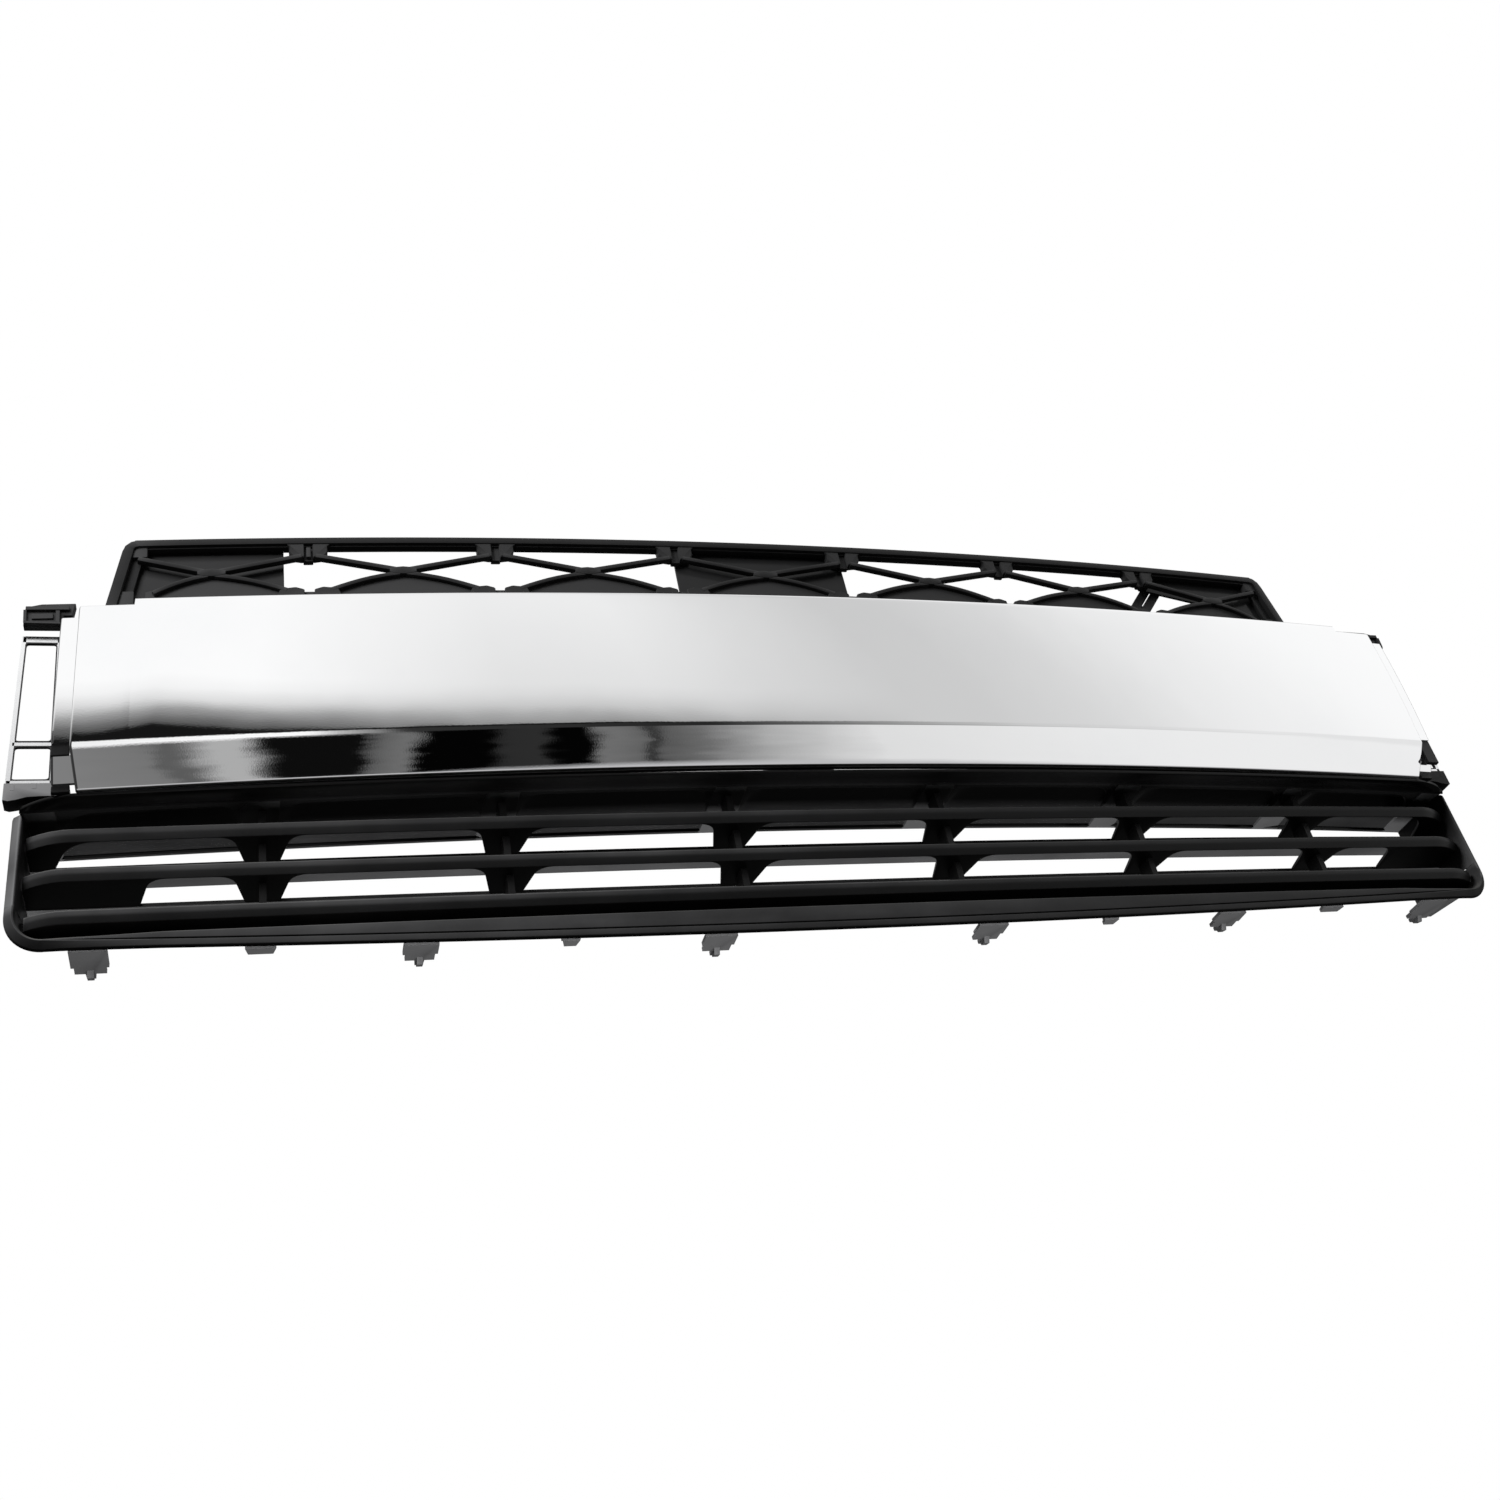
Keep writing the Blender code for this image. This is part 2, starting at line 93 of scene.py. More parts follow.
# End brackets: the depth of their front face, how far their inner edge leans outwards per height, and
# their windows' lowest and highest edges
BRACKET_FRONT = 0.040
BRACKET_LEAN = 0.0024 / 0.136
BRACKET_WINDOWS = ((-0.0012, 0.0285), (0.0325, 0.1245))

# Upper lattice: where its bars cross, its posts, the setback of its front, and its sloping ends' half
# width and height at their top and foot
NODES = (-0.4756, -0.321, -0.1627, 0.0, 0.1627, 0.321, 0.4756)
POSTS = (-0.398, -0.241, -0.0805, 0.0805, 0.241, 0.398)
LATTICE_FRONT = 0.080
END_TOP, END_FOOT = (0.5437, 0.268), (0.5585, 0.186)

# Lower grille: half widths, ribs, and each louvre's height at its ends with its dip in the middle
FRAME_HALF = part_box("frame_side_right")[1].x
LOUVRE_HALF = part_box("louvre_upper")[1].x
TOP_RAIL_HALF = 0.599
OPENING_HALF = 0.588
RIBS = (-0.4375, -0.265, -0.0885, 0.0885, 0.265, 0.4375)
LOUVRES = {
    "louvre_upper": (-0.048, 0.012),
    "louvre_middle": (-0.0795, 0.0145),
    "louvre_lower": (-0.113, 0.014),
}
LIP_LEVEL = (-0.0280, 0.0035)

# Setbacks of a blade's openings at their front and rear, and of the blade's rear edge
NOSE_FRONT = 0.0405
REAR_STRIP = 0.076
BLADE_REAR = 0.104

# The rolled rim's width, and the radius of the frame's lower corners
RIM = 0.0078
CORNER = 0.027


def bow(x, setback):
    """Y of a point at a setback behind the crease line."""
    return CREASE_Y - SWEEP * (1 - (x / CREASE_HALF) ** 2) + setback


def dipped(x, end_level, dip):
    """Height of an edge that is lower in the middle than at the frame's ends."""
    return end_level - dip * (1 - (x / FRAME_HALF) ** 2)


def spaced(start, end, count):
    return [start + (end - start) * i / (count - 1) for i in range(count)]


def fillet(corners, steps=4):
    """Closed outline with rounded corners, from (a, b, radius) corners."""
    found = []
    for i, (a, b, radius) in enumerate(corners):
        here = Vector((a, b))
        if not radius:
            found.append((a, b))
            continue
        before = Vector(corners[i - 1][:2]) - here
        after = Vector(corners[(i + 1) % len(corners)][:2]) - here
        half = before.angle(after) / 2
        reach = min(radius / math.tan(half), 0.48 * before.length, 0.48 * after.length)
        start, end = here + before.normalized() * reach, here + after.normalized() * reach
        for k in range(steps + 1):
            t = k / steps
            point = start * (1 - t) ** 2 + here * 2 * t * (1 - t) + end * t**2
            found.append((point.x, point.y))
    return found


def skin(bm, rings):
    """Closed skin over a row of rings with equal point counts, capped at both ends."""
    made = [[bm.verts.new(point) for point in ring] for ring in rings]
    for near, far in zip(made, made[1:]):
        for i in range(len(near)):
            j = (i + 1) % len(near)
            bm.faces.new((near[i], near[j], far[j], far[i]))
    bm.faces.new(made[0][::-1])
    bm.faces.new(made[-1])


def piece(name, bm, finish, nodes=(), angle=38):
    bmesh.ops.recalc_face_normals(bm, faces=bm.faces)
    mesh = bpy.data.meshes.new(name)
    bm.to_mesh(mesh)
    bm.free()
    mesh.materials.append(FINISHES[finish])
    item = bpy.data.objects.new(name, mesh)
    bpy.context.scene.collection.objects.link(item)
    mesh.shade_smooth()
    mesh.set_sharp_from_angle(angle=math.radians(angle))
    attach(item, "root")
    if nodes:
        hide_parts(*nodes)
    return item


def swept(name, stations, section, finish, nodes=(), angle=38):
    """Piece whose (setback, height) outline section(x) follows the bow."""
    bm = bmesh.new()
    skin(bm, [[(x, bow(x, s), CREASE_Z + h) for s, h in section(x)] for x in stations])
    return piece(name, bm, finish, nodes, angle)


def plate(bm, outline, near, far, bevel=0.0008):
    """Slab of an (x, height) outline between two setbacks, with softened edges, following the bow."""
    middle = Vector((sum(x for x, _ in outline), sum(z for _, z in outline))) / len(outline)
    rings = []
    for shrink, setback in ((bevel, near), (0.0, near + bevel), (0.0, far - bevel), (bevel, far)):
        ring = []
        for x, z in outline:
            inwards = middle - Vector((x, z))
            moved = Vector((x, z)) + inwards.normalized() * shrink
            ring.append((moved.x, bow(moved.x, setback), CREASE_Z + moved.y))
        rings.append(ring)
    skin(bm, rings)


def strut(bm, path, half, near, far, bevel=0.0009):
    """Bar of rounded section along an (x, height) path. half is its half width, or one for each point."""
    halves = half if hasattr(half, "__len__") else [half] * len(path)
    points = [Vector(p) for p in path]
    rings = []
    for i, (point, wide) in enumerate(zip(points, halves)):
        along = (points[min(i + 1, len(points) - 1)] - points[max(i - 1, 0)]).normalized()
        across = Vector((-along.y, along.x))
        corners = [(-wide, near), (wide, near), (wide, far), (-wide, far)]
        ring = []
        for a, s in fillet([(a, s, bevel) for a, s in corners], 2):
            at = point + across * a
            ring.append((at.x, bow(at.x, s), CREASE_Z + at.y))
        rings.append(ring)
    skin(bm, rings)


def line(start, end, count):
    """Evenly spaced (x, height) points from start to end."""
    return list(zip(spaced(start[0], end[0], count), spaced(start[1], end[1], count)))


# Materials


class Nodes:
    """Small helper for building the node tree of a material or of the world."""

    def __init__(self, owner, place="Object"):
        self.owner = owner
        owner.use_nodes = True
        self.tree = owner.node_tree
        self.place = self.add("ShaderNodeTexCoord").outputs[place]

    def add(self, kind, inputs=None, **settings):
        node = self.tree.nodes.new(kind)
        for key, value in settings.items():
            setattr(node, key, value)
        for key, value in (inputs or {}).items():
            self.set(node.inputs[key], value)
        return node

    def set(self, socket, value):
        if isinstance(value, bpy.types.NodeSocket):
            self.tree.links.new(value, socket)
        else:
            socket.default_value = value

    def noise(self, scale, detail=3.0, roughness=0.55, stretch=None):
        place = self.place
        if stretch:
            place = self.add("ShaderNodeMapping", {"Vector": place, "Scale": stretch}).outputs[0]
        inputs = {"Vector": place, "Scale": scale, "Detail": detail, "Roughness": roughness}
        return self.add("ShaderNodeTexNoise", inputs).outputs["Fac"]

    def cells(self, scale):
        inputs = {"Vector": self.place, "Scale": scale}
        return self.add("ShaderNodeTexVoronoi", inputs).outputs["Distance"]

    def span(self, value, low, high, start=0.0, end=1.0):
        node = self.add("ShaderNodeMapRange", {0: value, 1: start, 2: end, 3: low, 4: high})
        return node.outputs[0]

    def ramp(self, value, stops):
        """Brightness along a value, from (value, brightness) stops in rising order."""
        low, high = stops[0][0], stops[-1][0]
        node = self.add("ShaderNodeValToRGB", {"Fac": self.span(value, 0.0, 1.0, low, high)})
        elements = node.color_ramp.elements
        for at, _ in stops[1:-1]:
            elements.new((at - low) / (high - low))
        for stop, (_, level) in zip(elements, stops):
            stop.color = (level, level, level, 1)
        return node.outputs["Color"]

    def blend(self, share, first, second):
        node = self.add("ShaderNodeMix", {"Factor": share}, data_type="RGBA")
        self.set(node.inputs["A"], first)
        self.set(node.inputs["B"], second)
        return node.outputs["Result"]

    def sum(self, first, second, operation="ADD"):
        return self.add("ShaderNodeMath", {0: first, 1: second}, operation=operation).outputs[0]

    def bump(self, height, strength, distance, below=None):
        inputs = {"Height": height, "Strength": strength, "Distance": distance}
        if below:
            inputs["Normal"] = below
        return self.add("ShaderNodeBump", inputs).outputs[0]

    def edges(self):
        """1 on worn outer edges, 0 elsewhere."""
        return self.span(self.add("ShaderNodeNewGeometry").outputs["Pointiness"], 0.0, 1.0, 0.52, 0.60)

    def upward(self):
        """1 where the surface faces up, for settled dust."""
        normal = self.add("ShaderNodeNewGeometry").outputs["Normal"]
        height = self.add("ShaderNodeSeparateXYZ", {"Vector": normal}).outputs["Z"]
        return self.span(height, 0.0, 1.0, 0.35, 1.0)

    def finish(self, **sockets):
        shader = self.tree.nodes["Principled BSDF"]
        for key, value in sockets.items():
            self.set(shader.inputs[key.replace("_", " ")], value)
        return self.owner


def grey(level):
    return (level, level, level * 1.02, 1)


def chrome():
    n = Nodes(bpy.data.materials.new("chrome_plate"))
    smudge = n.span(n.noise(9.0, 4.0), 0.0, 1.0, 0.50, 0.72)
    fine = n.span(n.noise(60.0, 5.0, 0.7), 0.0, 1.0, 0.45, 0.75)
    rough = n.sum(n.span(smudge, 0.012, 0.030), n.span(fine, 0.0, 0.010))
    wavy = n.bump(n.noise(26.0, 1.0, 0.4), 0.08, 0.0010)
    peel = n.bump(n.noise(850.0, 2.0), 0.02, 0.0002, wavy)
    colour = n.blend(n.span(smudge, 0.0, 0.5), (0.965, 0.968, 0.972, 1), (0.93, 0.935, 0.945, 1))
    return n.finish(Base_Color=colour, Metallic=1.0, Roughness=rough, Normal=peel)


def plated():
    n = Nodes(bpy.data.materials.new("plated_bracket"))
    cloud = n.noise(30.0, 4.0)
    brushed = n.noise(220.0, 3.0, 0.6, (1.0, 1.0, 0.06))
    colour = n.blend(n.span(cloud, 0.0, 1.0, 0.35, 0.7), (0.95, 0.955, 0.96, 1), (0.88, 0.885, 0.90, 1))
    rough = n.sum(n.span(cloud, 0.10, 0.20), n.span(brushed, 0.0, 0.07))
    bump = n.bump(brushed, 0.05, 0.0002)
    return n.finish(Base_Color=colour, Metallic=1.0, Roughness=rough, Normal=bump)


def moulded(name, tones, roughness, grain, wear, specular):
    """Moulded plastic: fine leather-like grain, uneven sheen, rubbed edges and a film of dust on top.
    grain is its fineness and its strength."""
    n = Nodes(bpy.data.materials.new(name))
    cloud = n.noise(14.0, 5.0, 0.6)
    pebble = n.cells(grain[0])
    speck = n.noise(grain[0] * 0.6, 3.0, 0.7)
    flow = n.noise(40.0, 3.0, 0.6, (0.12, 1.0, 1.0))
    mottle = n.span(n.sum(cloud, flow, "MULTIPLY"), 0.0, 1.0, 0.12, 0.42)
    tone = n.blend(mottle, grey(tones[0]), grey(tones[1]))
    tone = n.blend(n.span(n.edges(), 0.0, wear), tone, grey(0.13))
    dust = n.sum(n.upward(), n.span(n.noise(70.0, 6.0, 0.7), 0.0, 0.22, 0.35, 0.75), "MULTIPLY")
    tone = n.blend(dust, tone, (0.20, 0.19, 0.17, 1))
    rough = n.sum(n.span(cloud, *roughness, 0.3, 0.7), n.span(speck, -0.03, 0.05))
    rough = n.sum(rough, n.span(dust, 0.0, 0.6))
    soft = n.bump(n.noise(55.0, 2.0), 0.10, 0.0010)
    bump = n.bump(n.sum(pebble, speck), grain[1], 0.0002, soft)
    return n.finish(Base_Color=tone, Roughness=rough, Normal=bump, Specular_IOR_Level=specular)


def zinc():
    n = Nodes(bpy.data.materials.new("zinc_steel"))
    spangle = n.cells(160.0)
    cloud = n.noise(24.0, 4.0)
    colour = n.blend(n.span(spangle, 0.0, 1.0, 0.0, 0.9), (0.42, 0.43, 0.45, 1), (0.62, 0.63, 0.64, 1))
    colour = n.blend(n.span(cloud, 0.0, 0.35, 0.5, 0.8), colour, (0.45, 0.44, 0.40, 1))
    rough = n.sum(n.span(cloud, 0.30, 0.44), n.span(spangle, 0.0, 0.10))
    bump = n.bump(n.noise(300.0, 4.0), 0.12, 0.0003)
    return n.finish(Base_Color=colour, Metallic=1.0, Roughness=rough, Normal=bump)


# Each moulded plastic's tones, roughness, grain, wear along the edges and specular level
MOULDINGS = {
    "black_plastic": ((0.010, 0.022), (0.34, 0.46), (1500.0, 0.08), 0.3, 0.16),
    "gloss_black_plastic": ((0.006, 0.012), (0.12, 0.20), (900.0, 0.02), 0.2, 0.12),
}
FINISHES = {slot: moulded(slot, *look) for slot, look in MOULDINGS.items()}
FINISHES |= {"chrome_plate": chrome(), "plated_bracket": plated(), "zinc_steel": zinc()}

for part in frame["record"]["subparts"]:
    node = frame["nodes"][part["node"]]
    node.data.materials.clear()
    node.data.materials.append(FINISHES[part["material_slot"]])


# Chrome panel with its recessed end flanges


def face_setback(height):
    """Setback of the panel's upright face, which bulges a little forwards."""
    share = max(0.0, min(1.0, height / PANEL_TOP))
    return -PANEL_BULGE * 4 * share * (1 - share)


def panel_outline(x, inset):
    """Section of the panel: face, crease and swept-back lower band, then the same along the inside."""
    top = (PANEL_END_TOP if abs(x) > PANEL_STEP_HALF else PANEL_TOP) - inset
    back, down = LOWER_BAND
    face = [(face_setback(h) + inset, h, 0) for h in spaced(top - 0.005, 0.004, 16)]
    corners = [
        (0.0095, top, 0.0003),
        (face_setback(top) + inset, top, 0.0030),
        *face,
        (inset, 0.0, 0.0016),
        (back * 0.5 - 0.0004 + inset, down * 0.5 - 0.0004, 0),
        (back + inset * 0.5, down + inset, 0.0018),
        (back + 0.0040, down + inset, 0.0003),
        (back + 0.0040, down + 0.0025, 0.0003),
        (back + 0.0015, down + 0.0030, 0.0003),
        (0.0036, 0.0010, 0.0005),
        (0.0012, 0.064, 0),
        (0.0032, top - 0.0030, 0.0005),
        (0.0095, top - 0.0030, 0.0003),
    ]
    return fillet(corners, 5)


def panel_ring(x, inset):
    """Ring of the panel at x; its lower band is a little narrower than its face."""
    ring = []
    for s, h in panel_outline(x, inset):
        shown = x * (1 + 0.0071 * min(0.0, h) / -LOWER_BAND[1])
        ring.append((shown, bow(shown, s), CREASE_Z + h))
    return ring


def make_panel():
    half, step = CREASE_HALF + 0.0004, PANEL_STEP_HALF
    inner = spaced(-step + 0.0002, step - 0.0002, 90)
    right = [(step + 0.0002, 0), *[(x, 0) for x in spaced(step + 0.006, half - 0.0020, 6)]]
    right += [(half - 0.0013, 0), (half - 0.0010, 0.0001), (half - 0.0003, 0.0005), (half, 0.0013)]
    left = [(-x, inset) for x, inset in right[::-1]]
    bm = bmesh.new()
    skin(bm, [panel_ring(x, inset) for x, inset in left + [(x, 0) for x in inner] + right])
    piece("chrome_panel_skin", bm, "chrome_plate", ["chrome_panel"])


def make_flanges():
    """Strip of chrome stepped back beyond each end of the panel, in an upper and a lower length, with
    dark plugs in the gap between the two and below the lower one."""
    drop = 0.0030
    for side, sign in (("left", -1), ("right", 1)):
        bm = bmesh.new()
        for start, low, high in ((0.5650, 0.0050, 0.1180), (0.5595, -0.0200, -0.0040)):
            rings = []
            for x, inset in ((start, 0), (0.5758, 0), (0.5764, 0), (0.5773, 0.0005), (0.5777, 0.0014)):
                corners = []
                for h in spaced(high - inset, low + inset, 12):
                    lean = face_setback(h) if h > 0 else -h * LOWER_BAND[0] / -LOWER_BAND[1]
                    corners.append((lean + drop + inset, h))
                back = [(s + 0.0025, h) for s, h in corners[::-1]]
                rings.append([(sign * x, bow(x, s), CREASE_Z + h) for s, h in corners + back])
            skin(bm, rings)
        piece(f"panel_flange_{side}", bm, "chrome_plate")

        bm = bmesh.new()
        gap = (-0.0045 if side == "left" else -0.0185, 0.0055, 0.0045, 0.0090)
        for low, high, near, far in (gap, (-0.0250, -0.0195, 0.0200, 0.0240)):
            corners = ((0.5655, low), (0.5775, low), (0.5775, high), (0.5655, high))
            plate(bm, [(sign * x, h) for x, h in corners], near, far, 0.0005)
        piece(f"panel_flange_plug_{side}", bm, "black_plastic")


# End brackets and clips


def flat_piece(bm, outline, near, far, bevel=0.0007):
    """Slab of an (x, height) outline between two depths behind the crease end, with softened edges."""
    middle = Vector((sum(x for x, _ in outline), sum(z for _, z in outline))) / len(outline)
    rings = []
    for shrink, depth in ((bevel, near), (0.0, near + bevel), (0.0, far - bevel), (bevel, far)):
        moved = [Vector(p) + (middle - Vector(p)).normalized() * shrink for p in outline]
        rings.append([(p.x, CREASE_Y + depth, CREASE_Z + p.y) for p in moved])
    skin(bm, rings)


def bar(bm, start, end, half, near, far, bevel=0.0006):
    """Straight flat bar between two (x, height) points; half is its half width."""
    a, b = Vector(start), Vector(end)
    along = (b - a).normalized()
    across = Vector((-along.y, along.x)) * half
    flat_piece(bm, [a - across, b - across, b + across, a + across], near, far, bevel)


def liner(bm, outside, inside, near, far):
    """Ring between two (x, height) outlines of equal point count, between two depths."""
    made = []
    for outline, depth in ((outside, near), (outside, far), (inside, far), (inside, near)):
        made.append([bm.verts.new((x, CREASE_Y + depth, CREASE_Z + z)) for x, z in outline])
    for first, second in zip(made, made[1:] + made[:1]):
        for i in range(len(first)):
            j = (i + 1) % len(first)
            bm.faces.new((first[i], first[j], second[j], second[i]))


def make_end_pieces():
    """At each end: the plated frame, the liners of its two windows, and the clips above and below it."""
    for side, sign in (("left", -1), ("right", 1)):

        def at(points):
            return [(sign * x, z) for x, z in points]

        bm = bmesh.new()
        edges = [
            ((0.5798, -0.005), (0.5822, 0.131), 0.0013),
            ((0.6086, -0.005), (0.6068, 0.131), 0.0016),
            ((0.5786, -0.0032), (0.6100, -0.0032), 0.0018),
            ((0.5800, 0.0305), (0.6085, 0.0305), 0.0015),
            ((0.5812, 0.1280), (0.6080, 0.1280), 0.0030),
        ]
        for start, end, half in edges:
            bar(bm, *at([start, end]), half, BRACKET_FRONT, BRACKET_FRONT + 0.0025)
        piece(f"end_bracket_frame_{side}", bm, "plated_bracket", [f"end_bracket_{side}"])

        bm = bmesh.new()
        for low, high in BRACKET_WINDOWS:
            windows = []
            for inset in (0.0, 0.0007):
                near_x, far_x = 0.5813 + inset, 0.6070 - inset
                low_shift, high_shift = [BRACKET_LEAN * (height + 0.005) for height in (low, high)]
                corners = [
                    (near_x + low_shift, low + inset, 0.0022),
                    (far_x - low_shift * 0.6, low + inset, 0.0022),
                    (far_x - high_shift * 0.6, high - inset, 0.0022),
                    (near_x + high_shift, high - inset, 0.0022),
                ]
                windows.append(fillet(corners, 4))
            liner(bm, at(windows[0]), at(windows[1]), BRACKET_FRONT - 0.0003, BRACKET_FRONT + 0.0024)
        piece(f"end_bracket_liner_{side}", bm, "black_plastic")

        bm = bmesh.new()
        hood = [(0.6074, 0.1358), (0.6079, 0.1500), (0.6060, 0.1535), (0.5960, 0.1568)]
        hood += [(0.5720, 0.1580), (0.5736, 0.1460), (0.5795, 0.1455), (0.5808, 0.1360)]
        flat_piece(bm, at(hood), 0.0325, 0.0400)
        frame_bars = [
            ((0.6062, 0.1370), (0.6068, 0.1490), 0.0011),
            ((0.5835, 0.1370), (0.5840, 0.1490), 0.0014),
            ((0.6070, 0.1368), (0.5815, 0.1366), 0.0009),
            ((0.6065, 0.1505), (0.5760, 0.1515), 0.0016),
        ]
        for start, end, half in frame_bars:
            bar(bm, *at([start, end]), half, 0.0302, 0.0335, 0.0004)
        bar(bm, *at([(0.6020, 0.1432), (0.5870, 0.1442)]), 0.0024, 0.0312, 0.0335, 0.0003)
        piece(f"upper_clip_body_{side}", bm, "black_plastic", [f"upper_clip_{side}"])

        bm = bmesh.new()
        wedge = [(0.6103, -0.0060), (0.6103, -0.0205), (0.6075, -0.0215), (0.6020, -0.0205)]
        wedge += [(0.5950, -0.0185), (0.5860, -0.0175), (0.5680, -0.0170), (0.5680, -0.0060)]
        flat_piece(bm, at(wedge), 0.0362, 0.0500)
        for x, height, wide in ((0.5905, -0.0085, 0.0016), (0.6045, -0.0100, 0.0013)):
            low, high = height - 0.0026, height + 0.0022
            bar(bm, *at([(x, low), (x, high)]), wide, 0.0361, 0.0372, 0.0002)
        piece(f"lower_bracket_body_{side}", bm, "black_plastic", [f"lower_bracket_{side}"])


# Lower grille


def side_setback(offset, near, far, round_x, round_back):
    """Setback of an opening's side, with a rounded front corner, at an offset from the rib or end."""
    front, back = NOSE_FRONT, REAR_STRIP
    if offset <= far:
        return back
    if offset >= near + round_x:
        return front
    bend = near + (far - near) * round_back / (back - front)
    if offset <= bend:
        return back + (front + round_back - back) * (offset - far) / (bend - far)
    a, b, c = near + round_x, near, bend
    t = 0.5
    for _ in range(24):
        slip = a * (1 - t) ** 2 + 2 * b * t * (1 - t) + c * t**2 - offset
        t = min(1.0, max(0.0, t - slip / min(-1e-6, -2 * a * (1 - t) + 2 * b * (1 - 2 * t) + 2 * c * t)))
    return front + round_back * t**2


# Webs beside an opening: width at the front and at the rear, and how far the front corner is rounded
# in x and in depth
WEB = (0.020, 0.012, 0.0125, 0.011)
END_WEB = (0.022, 0.010, 0.020, 0.018)
CLOSED_WEB = (0.076, 0.068, 0.0125, 0.011)


def opening_front(x, closed_ends):
    """Setback where a blade's opening begins at x; the blade's rear strip where there is none."""
    edges = [-OPENING_HALF, *RIBS, OPENING_HALF]
    end_web = CLOSED_WEB if closed_ends else END_WEB
    for left, right in zip(edges, edges[1:]):
        if left <= x <= right:
            left_side = side_setback(x - left, *(end_web if left == edges[0] else WEB))
            right_side = side_setback(right - x, *(end_web if right == edges[-1] else WEB))
            return max(left_side, right_side)
    return REAR_STRIP


def blade_stations():
    """Places along a blade, closer together where its openings' corners and its ends are round."""
    marks = spaced(-LOUVRE_HALF, LOUVRE_HALF, 60)
    for centre in RIBS:
        for sign in (-1, 1):
            marks += spaced(centre + sign * 0.0115, centre + sign * 0.021, 16)
            marks += spaced(centre + sign * 0.022, centre + sign * 0.035, 10)
    for sign in (-1, 1):
        marks += spaced(sign * (LOUVRE_HALF - 0.0003), sign * 0.5700, 18)
        marks += spaced(sign * 0.5690, sign * 0.5400, 14)
        marks += spaced(sign * 0.5215, sign * 0.4980, 26)
    return sorted(set(round(x, 5) for x in marks))


def nose_recess(x):
    """The nose's ends turn back into the side walls."""
    along = max(0.0, abs(x) - (LOUVRE_HALF - 0.030)) / 0.030
    return 0.010 * along**2


def make_louvres():
    """Each louvre's rounded nose with the blade in front of its openings, and on the upper two the strip
    behind the openings."""
    for name, level in LOUVRES.items():
        lowest = name == "louvre_lower"
        half = LOUVRE_HALF - (0.003 if lowest else 0.0)

        def front_part(x):
            h = dipped(x, *level)
            back = nose_recess(x)
            end = 0.060 if lowest else opening_front(x, name == "louvre_middle")
            end = max(end, NOSE_FRONT + back)
            corners = [
                (0.0361 + back, 0.0044, 0.0034),
                (0.0396 + back, 0.0044, 0.0008),
                (min(0.0400 + back, end - 0.0001), -0.0022, 0.0004),
                (end, -0.0022, 0.0006),
                (end, -0.0048, 0.0006),
                (0.0398 + back, -0.0048, 0.0012),
                (0.0366 + back, 0.0000, 0.0050),
            ]
            return [(s, h + rise) for s, rise in fillet(corners, 5)]

        stations = [x for x in blade_stations() if abs(x) <= half]
        swept(f"{name}_nose", stations, front_part, "black_plastic", [name])
        if lowest:
            continue

        def rear_part(x):
            h = dipped(x, *level)
            near = REAR_STRIP - 0.0002
            outline = [(near, -0.0022), (BLADE_REAR, -0.0022), (BLADE_REAR, -0.0052), (near, -0.0052)]
            return fillet([(s, h + rise, 0.0005) for s, rise in outline], 2)

        swept(f"{name}_rear", spaced(-half, half, 60), rear_part, "black_plastic")


def make_top_rail():
    """Top rail with its glossy lip under the chrome, and shallow recesses in its underside."""
    turn_start = 0.560

    def section(x):
        lip = dipped(x, *LIP_LEVEL)
        turned = max(0.0, abs(x) - turn_start) / (TOP_RAIL_HALF - turn_start)
        skin_front = 0.0212 + 0.0135 * turned**2
        start = opening_front(x, False) + 0.002
        ceiling = 0.0018 if start < REAR_STRIP - 0.001 else 0.0
        corners = [
            (skin_front, 0.0030, 0.0006),
            (BLADE_REAR, 0.0030, 0),
            (BLADE_REAR, 0.0, 0.0004),
            (0.1010, 0.0, 0.0003),
            (0.1005, ceiling, 0.0003),
            (start + 0.0015, ceiling, 0.0004),
            (start, 0.0, 0.0004),
            (0.0385, 0.0, 0.0004),
            (0.0368, -0.0016, 0.0010),
            (max(0.0338, skin_front + 0.0012), -0.0018, 0.0012),
            (skin_front, 0.0002, 0.0004),
        ]
        return [(s, lip + rise) for s, rise in fillet(corners, 3)]

    stations = [x * TOP_RAIL_HALF / LOUVRE_HALF for x in blade_stations()]
    swept("frame_top_skin", stations, section, "gloss_black_plastic", ["frame_top_rail"])


